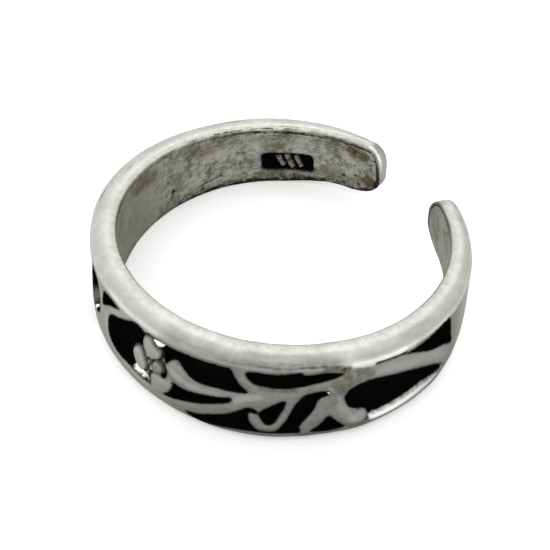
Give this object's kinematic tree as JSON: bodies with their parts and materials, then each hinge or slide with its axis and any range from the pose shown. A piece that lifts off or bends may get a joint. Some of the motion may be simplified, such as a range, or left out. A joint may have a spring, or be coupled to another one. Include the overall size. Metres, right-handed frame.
{
  "type": "toe ring",
  "caption": "Open adjustable toe ring cast in one piece, with a blackened vine and flower relief round the front and a narrow gap at the back.",
  "frame": {"origin": "axis of the toe bore in the plane of the band's lower edge, which rests on the surface", "axes": "+Z along the bore and up, -Y towards the front of the band, +Y towards the gap between the ends"},
  "size_m": [0.0172, 0.017, 0.0055],
  "materials": {
    "silver": "satin silver with blackened recesses"
  },
  "bodies": {
    "root": {"band": "silver"}
  },
  "joints": []
}
